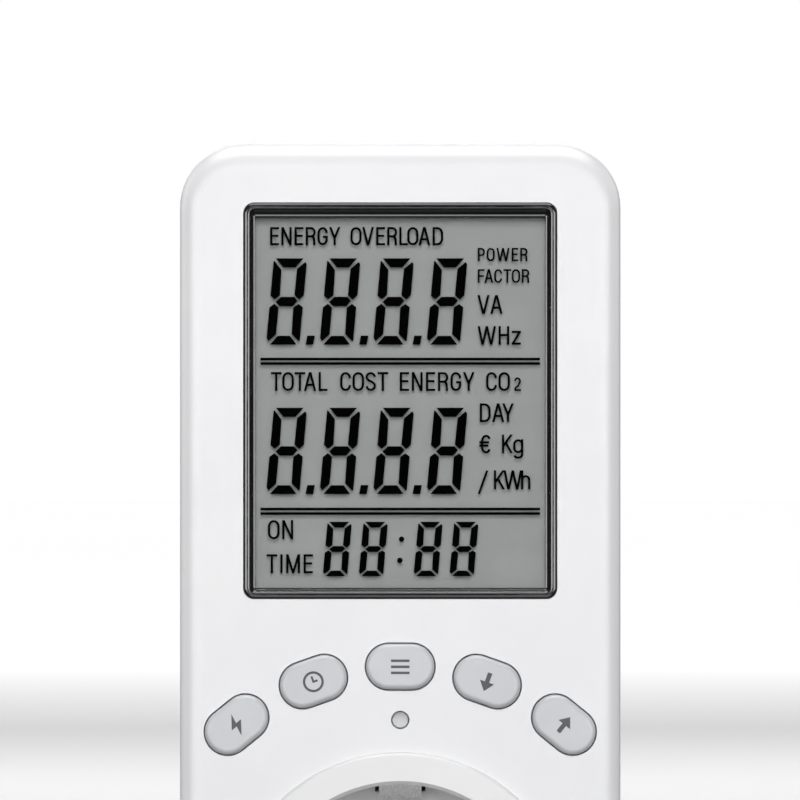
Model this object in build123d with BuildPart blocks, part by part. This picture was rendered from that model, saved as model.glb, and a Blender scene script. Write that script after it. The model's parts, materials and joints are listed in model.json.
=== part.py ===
"""A plug-in power meter: a mains through-plug with a socket in front, pins behind and a display above.

Frame: +Z up, +Y into the wall, so the display and the socket face -Y. The origin is the centre of
the plug's end face, midway between its two pins. All lengths are millimetres.
"""

from build123d import *

import os
from math import cos, radians, sin, tan

# ---------------------------------------------------------------- driving dimensions
BODY_W = 62.0  # housing width
TOP_Z = 110.0  # top of the housing
FOOT_Z = -30.0  # bottom of the housing
SHOULDER_R = 9.0  # upper corners of the front outline
FOOT_R = 22.0  # lower corners of the front outline
WALL = 2.2  # moulded wall
PLUG_REACH = 16.0  # how far the plug stands out of the housing
BODY_DEPTH = 44.0  # housing depth at the socket
HEAD_DEPTH = 30.0  # housing depth behind the display
FRONT_DEPTH = 16.0  # depth of the front shell
SLOPE_FOOT_Z = 34.0  # where the back starts to slope in, above the plug
FRONT_EDGE_R = 3.0  # rounding of the front edge
REAR_EDGE_R = 2.0  # rounding of the rear edge
SEAM_CHAMFER = 0.3  # shadow line where the shells meet
LIP_T, LIP_H = 1.0, 1.4  # the front shell's lip inside the rear shell
GAP = 0.1  # ordinary assembly gap between two mouldings

REAR_Y = -PLUG_REACH
FRONT_Y = REAR_Y - BODY_DEPTH
HEAD_REAR_Y = FRONT_Y + HEAD_DEPTH
SPLIT_Y = FRONT_Y + FRONT_DEPTH
INNER_FRONT_Y = FRONT_Y + WALL
INNER_REAR_Y = REAR_Y - WALL
INNER_HEAD_Y = HEAD_REAR_Y - WALL
SLOPE_TOP_Z = SLOPE_FOOT_Z + REAR_Y - HEAD_REAR_Y  # a 45 degree slope

# display window; the visible widths are measured from the bezel's own outline to the lens
BEZEL_W, BEZEL_H, BEZEL_R = 44.0, 55.6, 1.5
BEZEL_FOOT_Z = 46.0
BEZEL_Z = BEZEL_FOOT_Z + BEZEL_H / 2
BEZEL_SIDE, BEZEL_TOP, BEZEL_FOOT = 1.55, 2.09, 1.55
BEZEL_PROUD = 0.3  # in front of the housing's face
BEZEL_DEPTH = 0.8  # from its front to the lens
BEZEL_FLANGE, BEZEL_FLANGE_T = 1.3, 1.2
RIM_W, RIM_H = 1.0, 0.36  # the bezel's rim, and where its sloping inner wall begins
RIM_OUTER_R, RIM_INNER_R = 0.45, 0.35  # rounding of the rim's edges
LENS_T, LENS_LAP = 0.4, 0.5  # lens thickness, and how far it reaches behind the bezel
FRONT_GLASS_T, REAR_GLASS_T, CELL_GAP, REFLECTOR_T = 0.3, 0.75, 0.06, 0.2
FILM_GAP = 0.01  # round the liquid crystal pattern, and in front of the reflector
GLASS_LAP, LEDGE_H = 0.75, 2.3  # glass beyond the visible window, and its contact ledge
ZEBRA_W = 1.6
BOARD_T = 1.6

# liquid crystal pattern, from the window's centre
DIGIT_LEFT = -18.875  # lower left corner of the first large digit
DIGIT_PITCH = 7.518
DIGIT_FEET = (7.9, -13.1)  # baselines of the two rows of large digits
DIGIT_BARS = [  # a large digit's seven bars before they lean, from its lower left corner
    [(0.27, 12.12), (4.18, 12.12), (3.13, 10.85), (1.48, 10.85)],
    [(0.0, 11.7), (0.09, 11.8), (1.22, 10.49), (1.32, 6.94), (0.65, 6.38), (0.0, 6.87)],
    [(4.45, 11.62), (4.68, 11.31), (4.69, 6.93), (4.08, 6.33), (3.37, 6.95), (3.39, 10.65)],
    [(0.79, 5.98), (1.5, 6.71), (3.32, 6.71), (3.87, 6.14), (3.24, 5.41), (1.45, 5.41)],
    [(0.66, 5.75), (1.3, 5.18), (1.29, 1.45), (0.3, 0.5), (0.0, 0.95), (0.0, 5.22)],
    [(4.05, 5.72), (4.69, 5.25), (4.7, 0.62), (4.61, 0.44), (3.48, 1.49), (3.36, 5.2)],
    [(1.53, 1.23), (3.28, 1.23), (4.32, 0.0), (0.53, 0.0)],
]
DECIMAL_POINT = [(5.57, 0.0), (6.63, 0.0), (6.77, 1.26), (5.69, 1.26)]
SMALL_SCALE = (0.732, 0.63)  # across and up, the clock's digits against the large ones
SMALL_FOOT = -24.64
SMALL_LEFTS = (-10.91, -5.855, 1.855, 6.885)
COLON = ((0.18, -19.44), (-0.06, -22.42))
SLANT = 0.092  # sideways lean for each unit of height
RULE_W, RULE_T = 39.28, 0.37
RULES = (5.865, 5.245, -15.21, -15.84)

# keys, on an arc about the socket
KEY_ARC_R, KEY_STEP_DEG = 36.5, 19.5
KEY_L, KEY_W, KEY_PROUD, KEY_GAP = 9.6, 6.4, 0.9, 0.2
KEY_FLANGE, KEY_FLANGE_T, KEY_STEM_R = 1.0, 1.0, 1.5
RESET_Z, RESET_R, RESET_SUNK, RESET_STEM_R = 29.0, 1.1, 1.4, 1.2
SWITCH_SIDE, SWITCH_H, SWITCH_BASE_T, PLUNGER_R = 6.0, 3.4, 0.8, 1.7

# mains plug and socket, after the European 16 A two-pole pattern with side earth
PIN_X, PIN_R, PIN_L, PIN_TIP_R = 9.5, 2.4, 19.0, 1.6
PIN_COLLAR_R = 2.9  # thicker root of a pin, inside the plug
HOLE_R = 2.65
WELL_R, WELL_DEPTH, WELL_WALL = 20.0, 17.5, 2.3
RIM_R, RIM_PROUD = 24.5, 1.0
FLOOR_T = 3.0
RIB_W, RIB_H = 4.6, 2.4
BARREL_R, GROOVE_W, GROOVE_D = 18.7, 5.4, 3.0
PLUG_FLANGE_R, PLUG_FLANGE_T = 21.0, 2.4
EARTH_W, EARTH_T, PLUG_EARTH_T = 6.0, 0.8, 0.9
EARTH_SLOT_W = EARTH_W + 1.2
SOCKET_LEG_Z, PLUG_LEG_Z = 21.25, 18.0  # middles of the two earth straps' legs
EARTH_HOLE_Z, EARTH_HOLE_R = 10.0, 2.75
SLEEVE_R, SLEEVE_T, SLEEVE_Y = 2.5, 0.6, -3.0
BRIDGE_Y = -21.8  # where the two earth straps lie face to face
RIVET_R, RIVET_HEAD_R, RIVET_HEAD_T = 1.2, 2.2, 0.6

FLOOR_Y = FRONT_Y - RIM_PROUD + WELL_DEPTH  # front face of the socket's floor
SHUTTER_Y = FLOOR_Y + FLOOR_T  # back face of the floor
CARRIER_Y = SHUTTER_Y + 3.3  # front face of the contact carrier
CARRIER_T, CARRIER_R = 13.6, 20.3
CARRIER_REAR_Y = CARRIER_Y + CARRIER_T
SKIRT_Y = -30.0  # back edge of the well
SHUTTER_T, SHUTTER_ARM_R, SHUTTER_HUB_R = 1.6, 3.6, 4.4
PIVOT_R, PIVOT_BORE_R = 1.5, 1.55
SPRING_WIRE, SPRING_R, SPRING_PITCH, SPRING_TURNS = 0.4, 2.3, 0.5, 2
POCKET_W, POCKET_H, POCKET_FRONT = 9.0, 5.6, 1.4
CONTACT_T, CONTACT_H = 0.7, 5.0
CONTACT_LEAF = [(-3.1, -11.4), (-2.5, -9.6), (-3.3, -3.6), (-3.3, 0.0)]

# boards, bars and screws
DISPLAY_BOARD_Y = FRONT_Y + 8.5  # front face
POWER_BOARD_Y = -36.5  # front face
BOARD_TOP_Z = 102.4
BOARD_CLEAR_R = 24.6  # both boards stop this far from the socket's axis
BAR_T, BAR_W, BAR_TOP_Z = 0.8, 5.0, 31.0
SHUNT_GAP = 7.0
HOUSING_SCREWS = [(-25.0, 104.0), (25.0, 104.0), (-19.5, -19.5), (19.5, -19.5)]
DISPLAY_SCREWS = [(-26.0, 44.5), (26.0, 44.5), (-26.0, 96.0), (26.0, 96.0)]
POWER_SCREWS = [(-24.8, 55.0), (24.8, 55.0), (-24.8, 94.0), (24.8, 94.0)]
CARRIER_SCREWS = [(-8.0, -14.0), (8.0, 14.0)]
SCREW_SEAT_Y = -36.0
SCREW_R, SCREW_HEAD_R, SCREW_HEAD_T = 1.45, 2.3, 1.8
TOWER_R, POST_R = 3.9, 2.8

os.makedirs("parts", exist_ok=True)


# ---------------------------------------------------------------- helpers
def at_y(y):
    """The plane at a depth, with X to the right, Z up and its normal towards the viewer (-Y)."""
    return Plane.XZ.offset(-y)


def slab(outline, front_y, rear_y):
    """The solid that fills an outline between two depths."""
    with BuildPart() as block:
        with BuildSketch(at_y(rear_y)):
            add(outline)
        extrude(amount=rear_y - front_y)
    return block.part


def discs(places, radius):
    """Equal circles at several places."""
    with BuildSketch() as outline:
        with Locations(*places):
            Circle(radius)
    return outline.sketch


def box_at(x, z, width, height):
    """A rectangle about a point."""
    with BuildSketch() as outline:
        with Locations((x, z)):
            Rectangle(width, height)
    return outline.sketch


def save(part, label):
    """Labels a finished piece and writes it as its own STEP file."""
    part.label = label
    export_step(part, f"parts/{label}.step")


def housing_outline(inset):
    """The housing's front outline, shrunk by inset: square-shouldered above, round at the foot."""
    with BuildSketch() as outline:
        with Locations((0, (TOP_Z + FOOT_Z) / 2)):
            Rectangle(BODY_W - 2 * inset, TOP_Z - FOOT_Z - 2 * inset)
        fillet(outline.vertices().group_by(Axis.Y)[-1], SHOULDER_R - inset)
        fillet(outline.vertices().group_by(Axis.Y)[0], FOOT_R - inset)
    return outline.sketch


def window_outline(side, top, foot, corner_r):
    """The bezel's outline moved in by side, top and foot."""
    with BuildSketch() as outline:
        with Locations((0, BEZEL_Z + (foot - top) / 2)):
            RectangleRounded(BEZEL_W - 2 * side, BEZEL_H - top - foot, corner_r)
    return outline.sketch


def even_window(inset, corner_r):
    """The bezel's outline moved in by the same amount all round."""
    return window_outline(inset, inset, inset, corner_r)


def behind_bezel(lap, extra_foot, corner_r):
    """The visible window grown behind the bezel by lap, and further down by extra_foot."""
    return window_outline(
        BEZEL_SIDE - lap, BEZEL_TOP - lap, BEZEL_FOOT - lap - extra_foot, corner_r
    )


def board_outline(half_width, foot_z, holes, post_r):
    """A circuit board with a round bite for the socket, screw holes and notches for the posts."""
    with BuildSketch() as outline:
        with Locations((0, (foot_z + BOARD_TOP_Z) / 2)):
            RectangleRounded(2 * half_width, BOARD_TOP_Z - foot_z, 1.5)
        Circle(BOARD_CLEAR_R, mode=Mode.SUBTRACT)
        with Locations(*HOUSING_SCREWS[:2]):
            Circle(post_r + 0.5, mode=Mode.SUBTRACT)
        with Locations(*holes):
            Circle(1.2, mode=Mode.SUBTRACT)
    return outline.sketch


OUTLINE = housing_outline(0)
CAVITY = housing_outline(WALL)
LIP_OUTER = housing_outline(WALL - LIP_T)

# the display's layers, from the lens back to the seat that presses them forward
BEZEL_REAR_Y = INNER_FRONT_Y + BEZEL_FLANGE_T
BEZEL_FRONT_Y = FRONT_Y - BEZEL_PROUD
LENS_Y = BEZEL_FRONT_Y + BEZEL_DEPTH
LENS_REAR_Y = LENS_Y + LENS_T
GLASS_Y = LENS_REAR_Y + 0.05
REAR_GLASS_Y = GLASS_Y + FRONT_GLASS_T + CELL_GAP
REFLECTOR_Y = REAR_GLASS_Y + REAR_GLASS_T + FILM_GAP
SEAT_Y = REFLECTOR_Y + REFLECTOR_T + 0.05
GLASS = behind_bezel(GLASS_LAP, 0, 0.2)
LEDGED_GLASS = behind_bezel(GLASS_LAP, LEDGE_H, 0.2)
GLASS_BOX = LEDGED_GLASS.bounding_box()
GLASS_Z = GLASS_BOX.center().Y
ZEBRA_Z = GLASS_BOX.min.Y + 1.05
LEDGE_ROOM = box_at(0, BEZEL_FOOT_Z - 0.3, GLASS_BOX.size.X + 0.1, 2.7)

KEY_NAMES = ["energy", "cost", "function", "down", "up"]
KEY_ANGLES = [90 + KEY_STEP_DEG * step for step in (2, 1, 0, -1, -2)]
KEY_PLACES = [
    (KEY_ARC_R * cos(radians(angle)), KEY_ARC_R * sin(radians(angle)), angle - 90)
    for angle in KEY_ANGLES
]


def key_outlines(grow):
    """The five oval key outlines, each grown all round."""
    with BuildSketch() as outline:
        for x, z, turn in KEY_PLACES:
            with Locations(Location((x, z), turn)):
                SlotOverall(KEY_L + 2 * grow, KEY_W + 2 * grow)
    return outline.sketch


# ---------------------------------------------------------------- front shell
with BuildPart() as front_shell:
    with BuildSketch(at_y(SPLIT_Y)):
        add(OUTLINE)
    extrude(amount=FRONT_DEPTH)
    fillet(front_shell.faces().sort_by(Axis.Y)[0].edges(), FRONT_EDGE_R)
    chamfer(front_shell.faces().sort_by(Axis.Y)[-1].edges(), SEAM_CHAMFER)
    add(slab(CAVITY, INNER_FRONT_Y, SPLIT_Y), mode=Mode.SUBTRACT)
    # lip that enters the rear shell
    with BuildSketch(at_y(SPLIT_Y + LIP_H)):
        add(LIP_OUTER)
        add(CAVITY, mode=Mode.SUBTRACT)
    extrude(amount=LIP_H + 2.0)
    # screw posts for the housing and for the display board
    with BuildSketch(at_y(SPLIT_Y)):
        add(discs(HOUSING_SCREWS, POST_R))
        add(LIP_OUTER, mode=Mode.INTERSECT)
    extrude(amount=FRONT_DEPTH - WALL)
    with BuildSketch(at_y(DISPLAY_BOARD_Y)):
        add(discs(DISPLAY_SCREWS, 2.1))
    extrude(amount=DISPLAY_BOARD_Y - INNER_FRONT_Y)
    add(slab(discs(HOUSING_SCREWS, SCREW_R + 0.05), SPLIT_Y - 12.0, SPLIT_Y), mode=Mode.SUBTRACT)
    add(slab(discs(DISPLAY_SCREWS, 0.9), DISPLAY_BOARD_Y - 5.0, DISPLAY_BOARD_Y), mode=Mode.SUBTRACT)
    # window, socket, keys and the reset pin-hole
    with BuildSketch(at_y(INNER_FRONT_Y)):
        add(even_window(-0.05, BEZEL_R + 0.05))
        add(discs([(0, 0)], WELL_R + WELL_WALL + GAP))
        add(key_outlines(KEY_GAP))
        add(discs([(0, RESET_Z)], RESET_R + KEY_GAP))
    extrude(amount=WALL, mode=Mode.SUBTRACT)
    # room for the glass's contact ledge below the window
    add(slab(LEDGE_ROOM, LENS_REAR_Y, INNER_FRONT_Y), mode=Mode.SUBTRACT)
save(front_shell.part, "front_shell")


# ---------------------------------------------------------------- rear shell
def rear_block(inset, outline):
    """The rear half of the housing as a solid, shrunk by inset, its back sloping in above the plug."""
    rear_y, head_y = REAR_Y - inset, HEAD_REAR_Y - inset
    shift = inset * tan(radians(22.5))
    with BuildPart() as block:
        with BuildSketch(at_y(rear_y)):
            add(outline)
        extrude(amount=rear_y - SPLIT_Y)
        with BuildSketch(Plane.YZ):
            with BuildLine():
                Polyline(
                    (rear_y, SLOPE_FOOT_Z - shift),
                    (head_y, SLOPE_TOP_Z - shift),
                    (head_y, TOP_Z + 1),
                    (rear_y + 1, TOP_Z + 1),
                    (rear_y + 1, SLOPE_FOOT_Z - shift),
                    close=True,
                )
            make_face()
        extrude(amount=BODY_W, both=True, mode=Mode.SUBTRACT)
    return block.part


def is_crease(edge):
    """True for the two edges across the back where its slope begins and ends."""
    return edge.length > BODY_W - 1 and SLOPE_FOOT_Z - 1 < edge.center().Z < SLOPE_TOP_Z + 1


with BuildPart() as rear_shell:
    add(rear_block(0, OUTLINE))
    back_faces = rear_shell.faces().filter_by(lambda face: face.normal_at().Y > 0.5)
    fillet(back_faces.edges().filter_by(lambda edge: not is_crease(edge)), REAR_EDGE_R)
    chamfer(rear_shell.faces().sort_by(Axis.Y)[0].edges(), SEAM_CHAMFER)
    add(rear_block(WALL, CAVITY), mode=Mode.SUBTRACT)
    # screw towers, and posts for the power board
    for places, inner_y in (
        (HOUSING_SCREWS[:2], INNER_HEAD_Y),
        (HOUSING_SCREWS[2:], INNER_REAR_Y),
    ):
        with BuildSketch(at_y(inner_y + 0.5)):
            add(discs(places, TOWER_R))
            add(LIP_OUTER, mode=Mode.INTERSECT)
        extrude(amount=inner_y + 0.5 - SPLIT_Y)
    with BuildSketch(at_y(INNER_HEAD_Y + 0.5)):
        add(discs(POWER_SCREWS, 2.6))
    extrude(amount=INNER_HEAD_Y + 0.5 - (POWER_BOARD_Y + BOARD_T))
    # slot that takes the front shell's lip
    with BuildSketch(at_y(SPLIT_Y + LIP_H + GAP)):
        add(housing_outline(WALL - LIP_T - GAP))
        add(housing_outline(WALL + GAP), mode=Mode.SUBTRACT)
    extrude(amount=LIP_H + GAP, mode=Mode.SUBTRACT)
    # screw bores with deep seats, and the hole that the plug stands out of
    add(slab(discs(HOUSING_SCREWS, SCREW_R + 0.15), SPLIT_Y, REAR_Y), mode=Mode.SUBTRACT)
    add(slab(discs(HOUSING_SCREWS, SCREW_HEAD_R + 0.3), SCREW_SEAT_Y, REAR_Y), mode=Mode.SUBTRACT)
    add(
        slab(discs(POWER_SCREWS, 0.9), POWER_BOARD_Y + BOARD_T, POWER_BOARD_Y + BOARD_T + 2.6),
        mode=Mode.SUBTRACT,
    )
    add(slab(discs([(0, 0)], BARREL_R + GAP), INNER_REAR_Y, REAR_Y), mode=Mode.SUBTRACT)
save(rear_shell.part, "rear_shell")


# ---------------------------------------------------------------- display window
BEZEL_WALL = [  # side, top and foot insets, corner radius and depth, from the rim inwards
    (RIM_W, RIM_W, RIM_W, 0.75, RIM_H),
    (1.21, 1.23, 1.12, 0.60, 0.49),
    (1.23, 1.38, 1.28, 0.55, 0.54),
    (1.41, 1.66, 1.36, 0.32, 0.64),
    (1.53, 1.85, 1.53, 0.28, 0.67),
    (BEZEL_SIDE, BEZEL_TOP, BEZEL_FOOT, 0.25, BEZEL_DEPTH),
]


def through(steps):
    """The solid through the bezel's outline at several insets and depths."""
    with BuildPart() as block:
        for side, top, foot, corner_r, depth in steps:
            with BuildSketch(at_y(BEZEL_FRONT_Y + depth)):
                add(window_outline(side, top, foot, corner_r))
        loft(ruled=True)
    return block.part


with BuildPart() as display_bezel:
    add(slab(even_window(0, BEZEL_R), BEZEL_FRONT_Y, BEZEL_REAR_Y))
    rim_step = slab(even_window(RIM_W, 0.75), BEZEL_FRONT_Y, BEZEL_FRONT_Y + RIM_H)
    add(rim_step, mode=Mode.SUBTRACT)
    rim = display_bezel.faces().sort_by(Axis.Y)[0]
    fillet(rim.outer_wire().edges(), RIM_OUTER_R)
    rim = display_bezel.faces().sort_by(Axis.Y)[0]
    fillet(rim.inner_wires()[0].edges(), RIM_INNER_R)
    add(slab(even_window(-BEZEL_FLANGE, 2.6), INNER_FRONT_Y, BEZEL_REAR_Y))
    add(through(BEZEL_WALL), mode=Mode.SUBTRACT)
    # seats for the lens and the glass, and room for the glass's contact ledge
    add(slab(behind_bezel(LENS_LAP, 0, 0.6), LENS_Y, LENS_REAR_Y), mode=Mode.SUBTRACT)
    glass_seat = behind_bezel(GLASS_LAP + 0.05, 0, 0.25)
    add(slab(glass_seat, LENS_REAR_Y, BEZEL_REAR_Y), mode=Mode.SUBTRACT)
    add(slab(LEDGE_ROOM, LENS_REAR_Y, BEZEL_REAR_Y), mode=Mode.SUBTRACT)
save(display_bezel.part, "display_bezel")

save(slab(behind_bezel(LENS_LAP - 0.05, 0, 0.55), LENS_Y, LENS_REAR_Y), "display_lens")


# ---------------------------------------------------------------- liquid crystal cell and its carrier
save(slab(LEDGED_GLASS, GLASS_Y, GLASS_Y + FRONT_GLASS_T), "lcd_front_glass")
save(slab(GLASS, REAR_GLASS_Y, REAR_GLASS_Y + REAR_GLASS_T), "lcd_rear_glass")
save(slab(GLASS, REFLECTOR_Y, REFLECTOR_Y + REFLECTOR_T), "lcd_reflector")


def leaning(bars, left, foot, scale):
    """Bars scaled, leant over and moved to a digit's lower left corner, as closed point lists."""
    across, up = scale
    return [[(left + across * x + SLANT * up * z, foot + up * z) for x, z in bar] for bar in bars]


with BuildPart() as lcd_segments:
    with BuildSketch(at_y(REAR_GLASS_Y - FILM_GAP)):
        bars = []
        for foot in DIGIT_FEET:
            for column in range(4):
                digit = DIGIT_BARS + [DECIMAL_POINT] if column < 3 else DIGIT_BARS
                bars += leaning(digit, DIGIT_LEFT + DIGIT_PITCH * column, foot, (1.0, 1.0))
        for left in SMALL_LEFTS:
            bars += leaning(DIGIT_BARS, left, SMALL_FOOT, SMALL_SCALE)
        for bar in bars:
            with BuildLine():
                Polyline(*[(x, BEZEL_Z + z) for x, z in bar], close=True)
            make_face()
        with Locations(*[(0, BEZEL_Z + z) for z in RULES]):
            Rectangle(RULE_W, RULE_T)
        with Locations(*[(x, BEZEL_Z + z) for x, z in COLON]):
            Circle(0.38)
    extrude(amount=CELL_GAP - 2 * FILM_GAP)
save(lcd_segments.part, "lcd_segments")

with BuildPart() as lcd_carrier:
    with BuildSketch(at_y(DISPLAY_BOARD_Y)):
        with Locations((0, GLASS_Z)):
            RectangleRounded(GLASS_BOX.size.X + 3.0, GLASS_BOX.size.Y + 3.0, 2.4)
    extrude(amount=DISPLAY_BOARD_Y - BEZEL_REAR_Y - 0.05)
    # frame that enters the bezel behind the glass, its hollow, and the slot for the contact strip
    add(slab(behind_bezel(GLASS_LAP - 0.05, 0, 0.2), SEAT_Y, BEZEL_REAR_Y + 0.1))
    with BuildSketch(at_y(DISPLAY_BOARD_Y)):
        add(box_at(0, BEZEL_Z, BEZEL_W - 7.0, BEZEL_H - 8.0))
        add(box_at(0, ZEBRA_Z, GLASS_BOX.size.X - 3.0, ZEBRA_W + 0.1))
    extrude(amount=DISPLAY_BOARD_Y - SEAT_Y, mode=Mode.SUBTRACT)
save(lcd_carrier.part, "lcd_carrier")

save(
    slab(
        box_at(0, ZEBRA_Z, GLASS_BOX.size.X - 3.2, ZEBRA_W),
        GLASS_Y + FRONT_GLASS_T,
        DISPLAY_BOARD_Y,
    ),
    "zebra_strip",
)
save(
    slab(
        board_outline(BODY_W / 2 - WALL - 0.6, 22.0, DISPLAY_SCREWS, POST_R),
        DISPLAY_BOARD_Y,
        DISPLAY_BOARD_Y + BOARD_T,
    ),
    "display_board",
)


# ---------------------------------------------------------------- keys and their switches
FLANGE_FRONT_Y = INNER_FRONT_Y + 0.2
FLANGE_REAR_Y = FLANGE_FRONT_Y + KEY_FLANGE_T
STEM_Y = FLANGE_REAR_Y + 0.7
SWITCH_TOP_Y = DISPLAY_BOARD_Y - SWITCH_H
SWITCH_PLACES = [(x, z) for x, z, _ in KEY_PLACES] + [(0.0, RESET_Z)]

for name, (x, z, turn) in zip(KEY_NAMES, KEY_PLACES):
    with BuildPart() as key:
        with BuildSketch(at_y(FLANGE_REAR_Y)):
            with Locations(Location((x, z), turn)):
                SlotOverall(KEY_L, KEY_W)
        extrude(amount=FLANGE_REAR_Y - FRONT_Y + KEY_PROUD)
        fillet(key.faces().sort_by(Axis.Y)[0].edges(), 0.7)
        with BuildSketch(at_y(FLANGE_REAR_Y)):
            with Locations(Location((x, z), turn)):
                SlotOverall(KEY_L + 2 * KEY_FLANGE, KEY_W + 2 * KEY_FLANGE)
        extrude(amount=KEY_FLANGE_T)
        add(slab(discs([(x, z)], KEY_STEM_R), FLANGE_REAR_Y, STEM_Y))
    save(key.part, f"{name}_key")

with BuildPart() as reset_key:
    add(slab(discs([(0, RESET_Z)], RESET_R), FRONT_Y + RESET_SUNK, FLANGE_REAR_Y))
    add(slab(discs([(0, RESET_Z)], RESET_R + KEY_FLANGE), FLANGE_FRONT_Y, FLANGE_REAR_Y))
    add(slab(discs([(0, RESET_Z)], RESET_STEM_R), FLANGE_REAR_Y, STEM_Y))
save(reset_key.part, "reset_key")

with BuildPart() as switch_bodies:
    with BuildSketch(at_y(DISPLAY_BOARD_Y)):
        with Locations(*SWITCH_PLACES):
            Rectangle(SWITCH_SIDE, SWITCH_SIDE)
    extrude(amount=SWITCH_H)
    add(
        slab(
            discs(SWITCH_PLACES, PLUNGER_R + 0.05),
            SWITCH_TOP_Y,
            DISPLAY_BOARD_Y - SWITCH_BASE_T,
        ),
        mode=Mode.SUBTRACT,
    )
save(switch_bodies.part, "switch_bodies")

for name, place in zip(KEY_NAMES + ["reset"], SWITCH_PLACES):
    save(slab(discs([place], PLUNGER_R), STEM_Y, SWITCH_TOP_Y + 1.5), f"{name}_plunger")


# ---------------------------------------------------------------- socket
EARTH_SLOTS = [(0, WELL_R + WELL_WALL / 2), (0, -WELL_R - WELL_WALL / 2)]
SIDES = [(PIN_X, 0), (-PIN_X, 0)]

with BuildPart() as socket_well:
    add(slab(discs([(0, 0)], WELL_R + WELL_WALL), FRONT_Y, SKIRT_Y))
    add(slab(discs([(0, 0)], RIM_R), FRONT_Y - RIM_PROUD, FRONT_Y))
    fillet(socket_well.faces().sort_by(Axis.Y)[0].edges(), 0.6)
    # bead that snaps in behind the front shell
    add(slab(discs([(0, 0)], WELL_R + WELL_WALL + 0.6), INNER_FRONT_Y + GAP, INNER_FRONT_Y + 0.9))
    add(slab(discs([(0, 0)], WELL_R), FRONT_Y - RIM_PROUD, SKIRT_Y), mode=Mode.SUBTRACT)
    add(slab(discs([(0, 0)], CARRIER_R + GAP), SHUTTER_Y, SKIRT_Y), mode=Mode.SUBTRACT)
    mouth = socket_well.faces().sort_by(Axis.Y)[0].edges().sort_by(SortBy.LENGTH)[0]
    chamfer(mouth, 0.5)
    # guide ribs at the sides, and slots for the earth springs above and below
    for side in (1, -1):
        add(
            slab(
                box_at(side * (WELL_R + 0.4 - RIB_H / 2), 0, RIB_H + 0.8, RIB_W),
                FRONT_Y + 2.5,
                SHUTTER_Y,
            )
        )
    with BuildSketch(at_y(SKIRT_Y)):
        with Locations(*EARTH_SLOTS):
            Rectangle(EARTH_SLOT_W, 2 * WELL_WALL)
    extrude(amount=SKIRT_Y - FRONT_Y - 1.6, mode=Mode.SUBTRACT)
save(socket_well.part, "socket_well")

with BuildPart() as socket_floor:
    with BuildSketch(at_y(SHUTTER_Y)):
        Circle(WELL_R - 0.02)
        add(discs(SIDES, HOLE_R), mode=Mode.SUBTRACT)
        with Locations((0, WELL_R), (0, -WELL_R)):
            Rectangle(EARTH_SLOT_W, 4.0, mode=Mode.SUBTRACT)
        with Locations((WELL_R, 0), (-WELL_R, 0)):
            Rectangle(2 * RIB_H + 0.04, RIB_W + 0.04, mode=Mode.SUBTRACT)
    extrude(amount=FLOOR_T)
    add(slab(discs(CARRIER_SCREWS, 2.4), SHUTTER_Y, CARRIER_Y))
    add(slab(discs(CARRIER_SCREWS, 1.0), SHUTTER_Y, CARRIER_Y), mode=Mode.SUBTRACT)
save(socket_floor.part, "socket_floor")

with BuildPart() as shutter:
    with BuildSketch(at_y(SHUTTER_Y + 0.15 + SHUTTER_T)):
        SlotCenterToCenter(2 * PIN_X, 2 * SHUTTER_ARM_R)
        Circle(SHUTTER_HUB_R)
        Circle(PIVOT_BORE_R, mode=Mode.SUBTRACT)
    extrude(amount=SHUTTER_T)
save(shutter.part, "shutter")

save(slab(discs([(0, 0)], PIVOT_R), SHUTTER_Y + 0.02, CARRIER_Y), "shutter_pivot")

with BuildPart() as shutter_spring:
    spring_end = (0, CARRIER_Y - SPRING_WIRE / 2 - 0.05, 0)
    with BuildLine():
        coil = Helix(SPRING_PITCH, SPRING_PITCH * SPRING_TURNS, SPRING_R, spring_end, (0, -1, 0))
    with BuildSketch(Plane(coil @ 0, z_dir=coil % 0)):
        Circle(SPRING_WIRE / 2)
    sweep(path=coil)
save(shutter_spring.part, "shutter_spring")

CARRIER_SEAT_Y = CARRIER_Y + 3.0
with BuildPart() as contact_carrier:
    add(slab(discs([(0, 0)], CARRIER_R), CARRIER_Y, CARRIER_REAR_Y))
    for x, _ in SIDES:
        pocket = box_at(x, 0, POCKET_W, POCKET_H)
        add(slab(pocket, CARRIER_Y + POCKET_FRONT, CARRIER_REAR_Y), mode=Mode.SUBTRACT)
    add(slab(discs(SIDES, HOLE_R + 0.3), CARRIER_Y, CARRIER_REAR_Y), mode=Mode.SUBTRACT)
    add(slab(discs(CARRIER_SCREWS, 1.3), CARRIER_Y, CARRIER_REAR_Y), mode=Mode.SUBTRACT)
    add(slab(discs(CARRIER_SCREWS, 2.5), CARRIER_SEAT_Y, CARRIER_REAR_Y), mode=Mode.SUBTRACT)
save(contact_carrier.part, "contact_carrier")

CONTACT_BASE_Y = CARRIER_REAR_Y - CONTACT_T / 2
for label, x in (("live_contact", -PIN_X), ("neutral_contact", PIN_X)):
    with BuildPart() as contact:
        with BuildSketch(Plane.XY):
            with BuildLine():
                left = [(x + dx, CONTACT_BASE_Y + dy) for dx, dy in CONTACT_LEAF]
                right = [(x - dx, CONTACT_BASE_Y + dy) for dx, dy in reversed(CONTACT_LEAF)]
                Polyline(*left, *right)
            trace(line_width=CONTACT_T)
        extrude(amount=CONTACT_H / 2, both=True)
    save(contact.part, label)


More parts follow.
